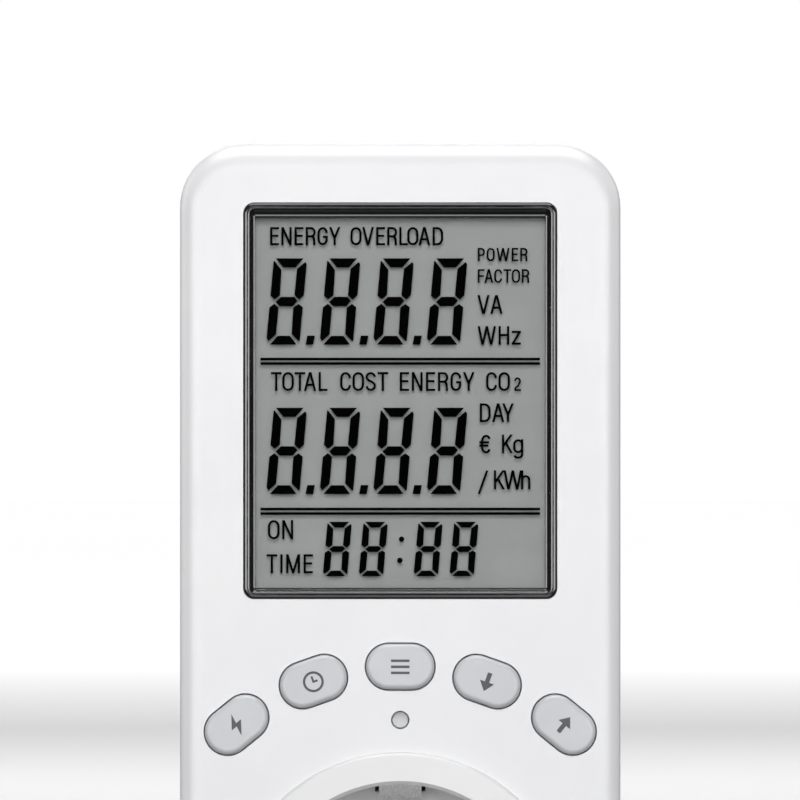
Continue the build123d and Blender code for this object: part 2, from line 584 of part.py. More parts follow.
# ---------------------------------------------------------------- earth path
def earth_strap(half_path, thickness):
    """A sprung strap: half its path in the YZ plane, the mirror image, and a rivet hole between them."""
    upper = half_path
    lower = [(y, -z) for y, z in reversed(half_path)]
    with BuildPart() as strap:
        with BuildSketch(Plane.YZ):
            with BuildLine():
                FilletPolyline(*upper, *lower, radius=0.9)
            trace(line_width=thickness)
        extrude(amount=EARTH_W / 2, both=True)
        add(slab(discs([(0, 0)], RIVET_R), FRONT_Y, 0), mode=Mode.SUBTRACT)
    return strap.part


SOCKET_EARTH_PATH = [
    (FRONT_Y + 3.0, SOCKET_LEG_Z - 1.1),
    (FRONT_Y + 9.0, WELL_R - 2.0),
    (FRONT_Y + 19.0, SOCKET_LEG_Z),
    (BRIDGE_Y - EARTH_T / 2, SOCKET_LEG_Z),
]
PLUG_EARTH_PATH = [
    (-1.6, PLUG_LEG_Z - 1.1),
    (-3.8, PLUG_LEG_Z),
    (BRIDGE_Y + PLUG_EARTH_T / 2, PLUG_LEG_Z),
]
save(earth_strap(SOCKET_EARTH_PATH, EARTH_T), "socket_earth_strap")
save(earth_strap(PLUG_EARTH_PATH, PLUG_EARTH_T), "plug_earth_strap")

STRAP_FRONT_Y, STRAP_REAR_Y = BRIDGE_Y - EARTH_T, BRIDGE_Y + PLUG_EARTH_T
with BuildPart() as earth_rivet:
    add(slab(discs([(0, 0)], RIVET_R - 0.02), STRAP_FRONT_Y, STRAP_REAR_Y))
    add(slab(discs([(0, 0)], RIVET_HEAD_R), STRAP_FRONT_Y - RIVET_HEAD_T, STRAP_FRONT_Y))
    add(slab(discs([(0, 0)], RIVET_HEAD_R), STRAP_REAR_Y, STRAP_REAR_Y + RIVET_HEAD_T))
save(earth_rivet.part, "earth_rivet")

EARTH_HOLE = [(0, EARTH_HOLE_Z)]
with BuildPart() as earth_sleeve:
    add(slab(discs(EARTH_HOLE, SLEEVE_R + SLEEVE_T), STRAP_REAR_Y, SLEEVE_Y))
    add(slab(discs(EARTH_HOLE, SLEEVE_R), STRAP_REAR_Y + 1.0, SLEEVE_Y), mode=Mode.SUBTRACT)
save(earth_sleeve.part, "earth_sleeve")


# ---------------------------------------------------------------- plug
BASE_Y = INNER_REAR_Y - PLUG_FLANGE_T
PIN_REAR_Y = BASE_Y - 0.3

with BuildPart() as plug_base:
    add(slab(discs([(0, 0)], BARREL_R), BASE_Y, 0))
    chamfer(plug_base.faces().sort_by(Axis.Y)[-1].edges(), 1.0)
    add(slab(discs([(0, 0)], PLUG_FLANGE_R), BASE_Y, INNER_REAR_Y))
    # side grooves for a socket's guide ribs
    for side in (1, -1):
        groove = box_at(side * BARREL_R, 0, 2 * GROOVE_D, GROOVE_W)
        add(slab(groove, 0.8 - PLUG_REACH, 0), mode=Mode.SUBTRACT)
    # slots for the earth strap above and below
    for side in (1, -1):
        with BuildSketch(Plane.YZ):
            with BuildLine():
                Polyline(
                    (-0.9, side * (PLUG_LEG_Z - 2.2)),
                    (-4.0, side * (PLUG_LEG_Z - 0.6)),
                    (BASE_Y, side * (PLUG_LEG_Z - 0.6)),
                    (BASE_Y, side * (PLUG_LEG_Z + 0.55)),
                    (INNER_REAR_Y, side * (PLUG_LEG_Z + 0.55)),
                    (INNER_REAR_Y, side * (BARREL_R + 1)),
                    (-0.9, side * (BARREL_R + 1)),
                    close=True,
                )
            make_face()
        extrude(amount=EARTH_W / 2 + 0.25, both=True, mode=Mode.SUBTRACT)
    # pin seats, the earth pin's hole with its sleeve's pocket, and room for the rivet
    add(slab(discs(SIDES, PIN_COLLAR_R + 0.02), BASE_Y, 0), mode=Mode.SUBTRACT)
    add(slab(discs(EARTH_HOLE, EARTH_HOLE_R), BASE_Y, 0), mode=Mode.SUBTRACT)
    add(
        slab(discs(EARTH_HOLE, SLEEVE_R + SLEEVE_T + 0.05), BASE_Y, SLEEVE_Y + 0.1),
        mode=Mode.SUBTRACT,
    )
    add(slab(discs([(0, 0)], RIVET_HEAD_R + 0.4), BASE_Y, BASE_Y + 1.0), mode=Mode.SUBTRACT)
save(plug_base.part, "plug_base")

for label, x in (("live_pin", -PIN_X), ("neutral_pin", PIN_X)):
    with BuildPart() as pin:
        add(slab(discs([(x, 0)], PIN_R), 0, PIN_L))
        fillet(pin.faces().sort_by(Axis.Y)[-1].edges(), PIN_TIP_R)
        add(slab(discs([(x, 0)], PIN_COLLAR_R), PIN_REAR_Y, 0))
    save(pin.part, label)


# ---------------------------------------------------------------- bars, boards and components
POWER_REAR_Y = POWER_BOARD_Y + BOARD_T


def riser(x, front_y):
    """A bar that rises from the plug's axis and then runs forward to the power board's back."""
    with BuildPart() as bar:
        add(slab(box_at(x, BAR_TOP_Z / 2 - 1.5, BAR_W, BAR_TOP_Z + 3.0), front_y, front_y + BAR_T))
        add(slab(box_at(x, BAR_TOP_Z - BAR_T / 2, BAR_W, BAR_T), POWER_REAR_Y, front_y + BAR_T))
    return bar.part


save(riser(-PIN_X, CARRIER_REAR_Y), "live_contact_bar")

with BuildPart() as live_pin_bar:
    add(riser(-PIN_X - SHUNT_GAP, PIN_REAR_Y - BAR_T))
    foot = box_at(-PIN_X - SHUNT_GAP / 2, 0, BAR_W + SHUNT_GAP, 6.0)
    add(slab(foot, PIN_REAR_Y - BAR_T, PIN_REAR_Y))
save(live_pin_bar.part, "live_pin_bar")

with BuildPart() as neutral_bar:
    add(riser(PIN_X, CARRIER_REAR_Y))
    add(slab(box_at(PIN_X, 0, BAR_W, 6.0), CARRIER_REAR_Y, PIN_REAR_Y))
save(neutral_bar.part, "neutral_bar")

save(
    slab(
        board_outline(BODY_W / 2 - WALL - 0.8, 21.0, POWER_SCREWS, TOWER_R),
        POWER_BOARD_Y,
        POWER_REAR_Y,
    ),
    "power_board",
)

with BuildPart() as shunt:
    with BuildSketch(Plane.XY.offset(BAR_TOP_Z - BAR_T / 2)):
        with BuildLine():
            FilletPolyline(
                (-PIN_X - SHUNT_GAP, POWER_BOARD_Y),
                (-PIN_X - SHUNT_GAP, POWER_BOARD_Y - 5.0),
                (-PIN_X, POWER_BOARD_Y - 5.0),
                (-PIN_X, POWER_BOARD_Y),
                radius=1.6,
            )
        trace(line_width=1.0)
    extrude(amount=1.5, both=True)
save(shunt.part, "shunt")

with BuildPart() as film_capacitor:
    add(slab(box_at(13.0, 47.0, 18.0, 9.0), POWER_BOARD_Y - 11.0, POWER_BOARD_Y))
    fillet(film_capacitor.faces().sort_by(Axis.Y)[0].edges(), 0.6)
save(film_capacitor.part, "film_capacitor")

with BuildPart() as smoothing_capacitor:
    add(slab(discs([(-13.0, 68.0)], 5.0), POWER_BOARD_Y - 11.0, POWER_BOARD_Y))
    fillet(smoothing_capacitor.faces().sort_by(Axis.Y)[0].edges(), 0.6)
save(smoothing_capacitor.part, "smoothing_capacitor")

with BuildPart() as varistor:
    with BuildSketch(Plane.YZ.offset(-3.0)):
        with Locations((POWER_BOARD_Y - 7.0, 47.0)):
            Circle(5.2)
    extrude(amount=2.0, both=True)
    add(slab(discs([(-3.0, 44.5), (-3.0, 49.5)], 0.4), POWER_BOARD_Y - 4.0, POWER_BOARD_Y))
save(varistor.part, "varistor")

FUSE_X, FUSE_Z, FUSE_L, FUSE_R = -16.0, 47.0, 20.0, 2.3
with BuildPart() as fuse:
    with BuildSketch(Plane.XY.offset(FUSE_Z)):
        with Locations((FUSE_X, POWER_BOARD_Y - 3.4)):
            Circle(FUSE_R)
    extrude(amount=FUSE_L / 2, both=True)
    for end_z in (FUSE_Z - FUSE_L / 2 + 2.5, FUSE_Z + FUSE_L / 2 - 2.5):
        with BuildSketch(Plane.XY.offset(end_z)):
            with Locations((FUSE_X, POWER_BOARD_Y - 3.4)):
                Circle(FUSE_R + 0.3)
        extrude(amount=2.5, both=True)
        add(slab(box_at(FUSE_X, end_z, 3.0, 3.0), POWER_BOARD_Y - 3.0, POWER_BOARD_Y))
save(fuse.part, "fuse")

with BuildPart() as rectifier_diodes:
    for step in range(4):
        with BuildSketch(Plane.YZ.offset(3.0)):
            with Locations((POWER_BOARD_Y - 1.35, 60.0 + 4.5 * step)):
                Circle(1.35)
        extrude(amount=5.2)
save(rectifier_diodes.part, "rectifier_diodes")

with BuildPart() as metering_chip:
    add(slab(box_at(12.0, 86.0, 10.3, 7.5), POWER_BOARD_Y - 2.4, POWER_BOARD_Y - 0.1))
    with BuildSketch(at_y(POWER_BOARD_Y)):
        with Locations((12.0, 86.0)):
            with GridLocations(1.27, 8.2, 8, 2):
                Rectangle(0.45, 1.6)
    extrude(amount=0.35)
save(metering_chip.part, "metering_chip")

with BuildPart() as crystal:
    with BuildSketch(at_y(POWER_BOARD_Y)):
        with Locations((12.0, 77.5)):
            SlotOverall(10.5, 4.4)
    extrude(amount=3.5)
save(crystal.part, "crystal")

CELL_R, CELL_L = 5.75, 5.4
with BuildPart() as backup_cells:
    for step in range(3):
        with BuildSketch(Plane.YZ.offset(-22.0 + CELL_L * step)):
            with Locations((POWER_BOARD_Y - CELL_R, 86.0)):
                Circle(CELL_R)
        extrude(amount=CELL_L)
    chamfer(backup_cells.edges().filter_by(GeomType.CIRCLE), 0.3)
save(backup_cells.part, "backup_cells")

DISPLAY_BOARD_REAR_Y = DISPLAY_BOARD_Y + BOARD_T
save(
    slab(box_at(-6.0, 72.0, 10.0, 10.0), DISPLAY_BOARD_REAR_Y, DISPLAY_BOARD_REAR_Y + 1.6),
    "microcontroller",
)

HEADER_PLACE, HEADER_PINS, PITCH = (24.0, 71.0), 8, 2.54
for label, front_y in (("header_block", POWER_BOARD_Y - 8.5), ("header_pins", DISPLAY_BOARD_REAR_Y)):
    with BuildPart() as header:
        with BuildSketch(at_y(POWER_BOARD_Y)):
            with Locations(HEADER_PLACE):
                if label == "header_block":
                    Rectangle(PITCH, PITCH * HEADER_PINS)
                    with GridLocations(1.0, PITCH, 1, HEADER_PINS):
                        Circle(0.34, mode=Mode.SUBTRACT)
                else:
                    with GridLocations(1.0, PITCH, 1, HEADER_PINS):
                        Circle(0.32)
        extrude(amount=POWER_BOARD_Y - front_y)
    save(header.part, label)


# ---------------------------------------------------------------- fasteners
def screws(places, seat_y, way, head_r, head_t, shank_r, shank_l):
    """Cross-head screws whose heads bear on seat_y; way is the Y direction in which their shanks run."""
    with BuildPart() as group:
        head_y = seat_y - way * head_t
        add(slab(discs(places, head_r), min(seat_y, head_y), max(seat_y, head_y)))
        fillet(group.edges().group_by(Axis.Y)[0 if way > 0 else -1], 0.3 * head_t)
        tip_y = seat_y + way * shank_l
        add(slab(discs(places, shank_r), min(seat_y, tip_y), max(seat_y, tip_y)))
        with BuildSketch() as cross:
            with Locations(*places):
                Rectangle(head_r * 1.1, head_r * 0.26)
                Rectangle(head_r * 0.26, head_r * 1.1)
        recess_y = head_y + way * head_t * 0.55
        add(
            slab(cross.sketch, min(head_y, recess_y), max(head_y, recess_y)),
            mode=Mode.SUBTRACT,
        )
    return group.part


save(
    screws(HOUSING_SCREWS, SCREW_SEAT_Y, -1, SCREW_HEAD_R, SCREW_HEAD_T, SCREW_R, 18.0),
    "housing_screws",
)
save(screws(DISPLAY_SCREWS, DISPLAY_BOARD_REAR_Y, -1, 1.9, 1.3, 0.85, 5.6), "display_board_screws")
save(screws(POWER_SCREWS, POWER_BOARD_Y, 1, 1.9, 1.3, 0.85, 4.0), "power_board_screws")
save(screws(CARRIER_SCREWS, CARRIER_SEAT_Y, -1, 2.2, 1.5, 0.95, 6.0), "carrier_screws")
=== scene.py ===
"""The plug-in power meter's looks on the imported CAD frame.

It adds the display's words, the keys' symbols, the finishes, the floor, the lights and the camera.
"""

import json
import math

import bmesh
import bpy
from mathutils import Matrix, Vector
from mathutils.geometry import delaunay_2d_cdt


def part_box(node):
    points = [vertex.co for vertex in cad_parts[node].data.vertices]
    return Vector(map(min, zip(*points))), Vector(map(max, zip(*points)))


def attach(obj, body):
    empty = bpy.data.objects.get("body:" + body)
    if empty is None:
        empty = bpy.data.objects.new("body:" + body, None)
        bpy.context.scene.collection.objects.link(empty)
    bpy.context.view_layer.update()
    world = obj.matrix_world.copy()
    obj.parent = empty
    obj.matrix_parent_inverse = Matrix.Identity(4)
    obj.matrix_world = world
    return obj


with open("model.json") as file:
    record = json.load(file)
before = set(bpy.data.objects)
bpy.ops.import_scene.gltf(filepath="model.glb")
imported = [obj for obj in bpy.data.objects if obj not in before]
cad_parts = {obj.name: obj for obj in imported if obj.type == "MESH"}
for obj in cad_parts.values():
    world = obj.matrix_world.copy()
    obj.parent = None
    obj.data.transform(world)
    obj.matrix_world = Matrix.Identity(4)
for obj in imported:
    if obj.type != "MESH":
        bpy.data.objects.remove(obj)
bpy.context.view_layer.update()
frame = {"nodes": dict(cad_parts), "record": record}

MM = 0.001
NODES = frame["nodes"]


# ---------------------------------------------------------------- places, all from the CAD boxes
_, BEZEL_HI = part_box("display_bezel")
SHELL_LO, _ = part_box("front_shell")
CELL_LO, CELL_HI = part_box("lcd_segments")
BEZEL_REACH = 29.1 * MM  # from the middle of the bezel's visible outline to the top of its hidden flange
WINDOW_Z = BEZEL_HI.z - BEZEL_REACH
FACE_Y = SHELL_LO.y  # the housing's front face
FLOOR_Z = SHELL_LO.z


# ---------------------------------------------------------------- stroke lettering for the display
X_HEIGHT = 0.75  # lower-case height against the capitals
DESCENT = 0.3  # how far the lower-case g may reach below its foot line
OVERSHOOT = 0.01  # how far a letter's strokes may pass its sides
WIDTHS = {  # of each character, in capital heights
    "M": 0.73, "W": 0.99, "V": 0.65, "A": 0.66, "Y": 0.63, "T": 0.56, "L": 0.47, "E": 0.49, "F": 0.49,
    "z": 0.49, "h": 0.49, "g": 0.54, "2": 0.51, "/": 0.46, "€": 0.60, "K": 0.59, "H": 0.57, "N": 0.57,
    "D": 0.58, "O": 0.61, "C": 0.58, "G": 0.57, "S": 0.56, "R": 0.55, "P": 0.54,
}
STRAIGHT, ROUND, SLANTED = 0.085, 0.055, 0.060  # room beside a letter's straight, round and slanted sides
LEFT_SIDES = {**dict.fromkeys("EFHIKLMNPRDh", STRAIGHT), **dict.fromkeys("OCGSg€2", ROUND)}
RIGHT_SIDES = {**dict.fromkeys("HIMNgh", STRAIGHT), **dict.fromkeys("OCDGSPRE2€", ROUND)}
KERNING = {  # what some pairs close up by
    "LO": 0.12, "OA": 0.09, "TO": 0.05, "OT": 0.05, "TA": 0.17, "AY": 0.20, "VA": 0.05, "OV": 0.06,
    "GY": 0.04, "FA": 0.12, "KW": 0.19, "Wh": 0.19, "AC": 0.03,
}


def arc(cx, cy, rx, ry, start, end, steps=10):
    """Points along part of an ellipse, in degrees."""
    points = []
    for i in range(steps + 1):
        a = math.radians(start + (end - start) * i / steps)
        points.append((cx + rx * math.cos(a), cy + ry * math.sin(a)))
    return points


def line(*points):
    """An open stroke through some points."""
    return list(points), False


def loop(points):
    """A stroke that ends where it starts."""
    return points, True


def glyph(name, h):
    """(width, strokes) of a character one unit high; h is half its stroke. A stroke is (points, closed)."""
    w = 2 * h if name == "I" else WIDTHS[name]
    left, right, low, top, mid = h, w - h, h, 1 - h, 0.5
    cx, rx, ry = w / 2, w / 2 - h, 0.27
    left_stem = line((left, 0), (left, 1))
    right_stem = line((right, 0), (right, 1))
    if name == "I":
        s = [line((cx, 0), (cx, 1))]
    elif name == "E":
        arms = line((w, top), (left, top), (left, low), (w, low))
        s = [arms, line((left, mid + 0.02), (0.92 * w, mid + 0.02))]
    elif name == "F":
        s = [line((w, top), (left, top), (left, 0)), line((left, mid), (0.9 * w, mid))]
    elif name == "L":
        s = [line((left, 1), (left, low), (w, low))]
    elif name == "T":
        s = [line((0, top), (w, top)), line((cx, top), (cx, 0))]
    elif name == "H":
        s = [left_stem, right_stem, line((left, mid + 0.02), (right, mid + 0.02))]
    elif name == "N":
        s = [left_stem, right_stem, line((left, 1), (right, 0))]
    elif name == "M":
        s = [left_stem, right_stem, line((left, 1.02), (cx, 0.02), (right, 1.02))]
    elif name == "K":
        s = [left_stem, line((right - 0.01, 1.02), (left, 0.36)), line((0.36 * w, 0.56), (right, -0.02))]
    elif name == "A":
        s = [line((h, -0.02), (cx, 1.03), (w - h, -0.02)), line((0.24 * w, 0.33), (0.76 * w, 0.33))]
    elif name == "V":
        s = [line((h, 1.02), (cx, -0.03), (w - h, 1.02))]
    elif name == "W":
        s = [line((h, 1.02), (0.27 * w, -0.03), (cx, 1.0), (0.73 * w, -0.03), (w - h, 1.02))]
    elif name == "Y":
        s = [line((h, 1.02), (cx, 0.40), (w - h, 1.02)), line((cx, 0.44), (cx, 0))]
    elif name == "O":
        s = [loop(arc(cx, top - ry, rx, ry, 0, 180) + arc(cx, low + ry, rx, ry, 180, 360))]
    elif name == "C":
        s = [line(*arc(cx, top - ry, rx, ry, 2, 180), *arc(cx, low + ry, rx, ry, 180, 358))]
    elif name == "G":
        bowl = arc(cx, top - ry, rx, ry, 2, 180) + arc(cx, low + ry, rx, ry, 180, 350)
        s = [line(*bowl, (right, 0.46), (0.52 * w, 0.46))]
    elif name == "D":
        bend = w - h - 0.26
        foot = [(left, low), (bend, low)] + arc(bend, low + 0.30, 0.26, 0.30, -90, 0)[1:]
        s = [loop(foot + arc(bend, top - 0.30, 0.26, 0.30, 0, 90) + [(left, top)])]
    elif name in ("P", "R"):
        foot = 0.45 if name == "P" else 0.49
        r = (top - foot) / 2
        bend = w - h - 0.2
        bowl = arc(bend, top - r, 0.2, r, 90, -90)
        s = [left_stem, line((left, top), (bend, top), *bowl[1:], (left, foot))]
        if name == "R":
            s.append(line(*arc(bend - 0.02, foot - 0.17, 0.19, 0.17, 90, 0, 6), (right - 0.01, 0)))
    elif name == "S":
        spine = [(left + 0.02, 0.66), (0.30 * w, 0.57), (0.70 * w, 0.45), (right - 0.02, 0.36)]
        s = [line(*arc(cx, top - 0.23, rx, 0.23, 8, 180), *spine, *arc(cx, low + 0.23, rx, 0.23, 0, -172))]
    elif name == "z":
        t = X_HEIGHT - h
        s = [line((0, t), (w, t)), line((0, low), (w, low)), line((w - h, t), (h, low))]
    elif name == "h":
        shoulder = arc(cx, X_HEIGHT - h - 0.2, rx, 0.2, 170, 0)
        s = [left_stem, line((left, X_HEIGHT - 0.26), *shoulder, (right, 0))]
    elif name == "g":
        t, r = X_HEIGHT - h, 0.21
        s = [
            loop(arc(cx, t - r, rx, r, 0, 180) + arc(cx, low + r, rx, r, 180, 360)),
            line((right, X_HEIGHT), (right, -0.08), *arc(cx, -0.08, rx, 0.16, 0, -165)[1:]),
        ]
    elif name == "2":
        slope = [(right - 0.02, 0.62), (0.62 * w, 0.40), (0.2 * w, 0.2), (h + 0.02, low), (w, low)]
        s = [line(*arc(cx, top - 0.24, rx, 0.24, 172, 0), *slope)]
    elif name == "€":
        upper = arc(0.60 * w, top - 0.32, 0.37 * w, 0.32, 30, 180)
        lower = arc(0.60 * w, low + 0.32, 0.37 * w, 0.32, 180, 330)
        s = [line(*upper, *lower), line((0, 0.59), (0.86 * w, 0.59)), line((0, 0.42), (0.80 * w, 0.42))]
    elif name == "/":
        s = [line((h * 0.9, -0.02), (w - h * 0.9, 1.02))]
    return w, s


SAME_POINT = 1e-5  # points this close along a stroke count as one
SHARPEST_MITRE = 0.12  # limits how far a sharp turn's outer corner reaches


def ribbon_quads(points, closed, half):
    """The four-sided pieces of a constant-width line, mitred where it turns."""
    pts = [Vector(p) for p in points]
    pts = [p for i, p in enumerate(pts) if i == 0 or (p - pts[i - 1]).length > SAME_POINT]
    if closed and (pts[0] - pts[-1]).length < SAME_POINT:
        pts.pop()
    n = len(pts)
    edges = []
    for i in range(n):
        before = pts[i] - pts[i - 1] if (i > 0 or closed) else None
        after = pts[(i + 1) % n] - pts[i] if (i < n - 1 or closed) else None
        before = after if before is None else before
        after = before if after is None else after
        n0 = Vector((-before.y, before.x)).normalized()
        n1 = Vector((-after.y, after.x)).normalized()
        mean = (n0 + n1).normalized()
        reach = half / max(mean.dot(n1), SHARPEST_MITRE)
        edges.append((pts[i] + mean * reach, pts[i] - mean * reach))
    spans = range(n) if closed else range(n - 1)
    return [(edges[i][1], edges[(i + 1) % n][1], edges[(i + 1) % n][0], edges[i][0]) for i in spans]


INSIDE_ONLY = 1  # the triangulation's output type that keeps the triangles inside the polygons
MERGE_GAP = 1e-6  # the triangulation merges points this close


def shape_faces(shapes, clip=None):
    """Overlapping flat polygons as (points, triangles) of their union, inside the clip box if it is given."""
    verts, faces = [], []
    for shape in shapes:
        area = sum(a.x * b.y - b.x * a.y for a, b in zip(shape, shape[1:] + shape[:1]))
        ring = list(shape) if area > 0 else list(reversed(shape))
        faces.append(list(range(len(verts), len(verts) + len(ring))))
        verts += ring
    clip_id = None
    if clip:
        x0, y0, x1, y1 = clip
        clip_id = len(faces)
        faces.append(list(range(len(verts), len(verts) + 4)))
        verts += [Vector((x0, y0)), Vector((x1, y0)), Vector((x1, y1)), Vector((x0, y1))]
    points, _, tris, _, _, owners = delaunay_2d_cdt(verts, [], faces, INSIDE_ONLY, MERGE_GAP)
    kept = []
    for tri, owner in zip(tris, owners):
        inside = any(f != clip_id for f in owner)
        if inside and (clip_id is None or clip_id in owner):
            kept.append(tri)
    return points, kept


def add_flat(bm, shapes, clip, place):
    """Adds the union of some polygons to a mesh, each point moved by place(x, y)."""
    points, tris = shape_faces(shapes, clip)
    made = {}
    for tri in tris:
        corner = []
        for i in tri:
            if i not in made:
                made[i] = bm.verts.new(place(points[i].x, points[i].y))
            corner.append(made[i])
        bm.faces.new(corner)


def room(before, after):
    """The gap between two letters, in capital heights, before a word is stretched to its length."""
    gap = RIGHT_SIDES.get(before, SLANTED) + LEFT_SIDES.get(after, SLANTED)
    return gap - KERNING.get(before + after, 0.0)


def add_text(bm, text, start, end, foot, cap, stroke):
    """Writes a word from start to end on its foot line, its letter gaps evened out to fill that length."""
    h = stroke / cap / 2
    pairs = list(zip(text, text[1:]))
    bare = sum(glyph(ch, h)[0] for ch in text) + sum(room(a, b) for a, b in pairs)
    extra = ((end - start) / cap - bare) / max(len(pairs), 1)
    x = start
    for i, ch in enumerate(text):
        w, strokes = glyph(ch, h)
        quads = [q for pts, closed in strokes for q in ribbon_quads(pts, closed, h)]
        low = -DESCENT if ch == "g" else 0.0
        clip = (-OVERSHOOT, low, w + OVERSHOOT, 1.0)
        add_flat(bm, quads, clip, lambda px, py, x=x: (
            (x + px * cap) * MM, CELL_LO.y, WINDOW_Z + (foot + py * cap) * MM))
        if i < len(pairs):
            x += (w + room(*pairs[i]) + extra) * cap


STROKE, SMALL_STROKE = 0.315, 0.255  # millimetres
SMALL_CAP = 2.2  # capitals lower than this, in millimetres, get the small stroke
LEGENDS = [  # word, start, end, foot line and capital height, in millimetres from the window's centre
    ("ENERGY", -18.29, -8.41, 21.86, 2.56),
    ("OVERLOAD", -7.00, 6.03, 21.86, 2.56),
    ("POWER", 10.90, 17.89, 19.62, 1.87),
    ("FACTOR", 10.90, 18.14, 16.57, 1.93),
    ("VA", 10.84, 14.39, 12.22, 2.65),
    ("WHz", 10.87, 16.95, 7.88, 2.62),
    ("TOTAL", -18.18, -10.22, 1.38, 2.66),
    ("COST", -8.45, -1.70, 1.38, 2.66),
    ("ENERGY", -0.06, 10.46, 1.38, 2.66),
    ("CO", 12.06, 15.42, 1.38, 2.66),
    ("2", 15.99, 17.06, 1.40, 1.90),
    ("DAY", 11.18, 15.97, -2.99, 2.63),
    ("€", 11.12, 12.68, -7.39, 2.62),
    ("Kg", 14.29, 17.28, -7.36, 2.62),
    ("/", 10.87, 12.12, -13.10, 3.30),
    ("KWh", 13.16, 18.28, -12.44, 2.67),
    ("ON", -18.60, -15.05, -19.46, 2.70),
    ("TIME", -18.79, -12.27, -24.24, 2.67),
]


def finish_mesh(bm, name):
    """Turns a bmesh into an object in the scene."""
    mesh = bpy.data.meshes.new(name)
    bm.to_mesh(mesh)
    bm.free()
    obj = bpy.data.objects.new(name, mesh)
    bpy.context.scene.collection.objects.link(obj)
    return obj


FLAT_ANGLE = 0.001  # radians between faces that become one


def thicken(bm, from_y, to_y):
    """Gives flat faces at from_y a thickness as far as to_y."""
    bmesh.ops.dissolve_limit(bm, angle_limit=FLAT_ANGLE, verts=bm.verts, edges=bm.edges)
    grown = bmesh.ops.extrude_face_region(bm, geom=bm.faces[:])
    moved = [v for v in grown["geom"] if isinstance(v, bmesh.types.BMVert)]
    bmesh.ops.translate(bm, verts=moved, vec=(0, to_y - from_y, 0))
    bmesh.ops.recalc_face_normals(bm, faces=bm.faces)


def make_legends():
    """The display's fixed words and units, as thin lettering in the liquid crystal layer."""
    bm = bmesh.new()
    for word, start, end, foot, cap in LEGENDS:
        add_text(bm, word, start, end, foot, cap, STROKE if cap > SMALL_CAP else SMALL_STROKE)
    thicken(bm, CELL_LO.y, CELL_HI.y)
    legends = finish_mesh(bm, "lcd_legends")
    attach(legends, "housing")
    return legends


# ---------------------------------------------------------------- key symbols
def polygon(*points):
    """A polygon's points as vectors."""
    return [Vector(p) for p in points]


def bar(x, y, width, height):
    """A rectangle about a point."""
    a, b = width / 2, height / 2
    return polygon((x - a, y - b), (x + a, y - b), (x + a, y + b), (x - a, y + b))


BOLT = [(0.40, 1.65), (-1.0, -0.20), (-0.12, -0.20), (-0.40, -1.65), (1.0, 0.22), (0.12, 0.22)]
CLOCK_R, CLOCK_HALF_LINE, CLOCK_STEPS = 1.3, 0.17, 40
LONG_HAND, SHORT_HAND = bar(0, 0.36, 0.3, 0.9), bar(0.26, 0, 0.74, 0.3)
MENU_W, MENU_T, MENU_STEP = 2.6, 0.36, 0.85
ARROW = [(-0.32, -1.3), (0.32, -1.3), (0.32, 0.05), (1.05, 0.05), (0, 1.4), (-1.05, 0.05), (-0.32, 0.05)]
CLOCK_CIRCLE = arc(0, 0, CLOCK_R, CLOCK_R, 0, 360, CLOCK_STEPS)[:-1]
SYMBOLS = {  # generic key symbols, in millimetres from each key's middle
    "energy": [polygon(*BOLT)],
    "cost": ribbon_quads(CLOCK_CIRCLE, True, CLOCK_HALF_LINE) + [LONG_HAND, SHORT_HAND],
    "function": [bar(0, y, MENU_W, MENU_T) for y in (MENU_STEP, 0, -MENU_STEP)],
    "down": [polygon(*((-x, -y) for x, y in ARROW))],
    "up": [polygon(*ARROW)],
}
PRINT_T = 0.02 * MM  # thickness of the ink


def make_symbol(name, shapes):
    """A key's printed symbol, turned with the key about the socket's axis, riding on its button."""
    low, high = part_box(f"{name}_key")
    cx, cz = (low.x + high.x) / 2, (low.z + high.z) / 2
    turn = math.atan2(cz, cx) - math.pi / 2
    c, t = math.cos(turn) * MM, math.sin(turn) * MM
    bm = bmesh.new()
    add_flat(bm, shapes, None, lambda x, y: (cx + x * c - y * t, low.y, cz + x * t + y * c))
    thicken(bm, low.y, low.y - PRINT_T)
    symbol = finish_mesh(bm, f"{name}_symbol")
    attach(symbol, f"{name}_button")
    return symbol


legends = make_legends()
symbols = [make_symbol(name, shapes) for name, shapes in SYMBOLS.items()]


# ---------------------------------------------------------------- materials
def new_material(name):
    """A material with an empty principled shader; returns (material, shader, tree)."""
    mat = bpy.data.materials.new(name)
    mat.use_nodes = True
    tree = mat.node_tree
    shader = next(n for n in tree.nodes if n.type == "BSDF_PRINCIPLED")
    return mat, shader, tree


def noise(tree, scale, detail=3.0, rough=0.5, stretch=(1, 1, 1)):
    """Noise in object space; scale is in cycles a metre."""
    coords = tree.nodes.new("ShaderNodeTexCoord")
    mapping = tree.nodes.new("ShaderNodeMapping")
    mapping.inputs["Scale"].default_value = stretch
    tree.links.new(coords.outputs["Object"], mapping.inputs["Vector"])
    tex = tree.nodes.new("ShaderNodeTexNoise")
    tex.inputs["Scale"].default_value = scale
    tex.inputs["Detail"].default_value = detail
    tex.inputs["Roughness"].default_value = rough
    tree.links.new(mapping.outputs["Vector"], tex.inputs["Vector"])
    return tex.outputs["Fac"]


def ramp(tree, source, low, high, a=0.35, b=0.65):
    """Maps noise onto a range of numbers or colours."""
    if isinstance(low, (int, float)):
        node = tree.nodes.new("ShaderNodeMapRange")
        node.inputs["From Min"].default_value = a
        node.inputs["From Max"].default_value = b
        node.inputs["To Min"].default_value = low
        node.inputs["To Max"].default_value = high
        tree.links.new(source, node.inputs["Value"])
        return node.outputs["Result"]
    node = tree.nodes.new("ShaderNodeValToRGB")
    node.color_ramp.elements[0].position = a
    node.color_ramp.elements[1].position = b
    node.color_ramp.elements[0].color = (*low, 1)
    node.color_ramp.elements[1].color = (*high, 1)
    tree.links.new(source, node.inputs["Fac"])
    return node.outputs["Color"]


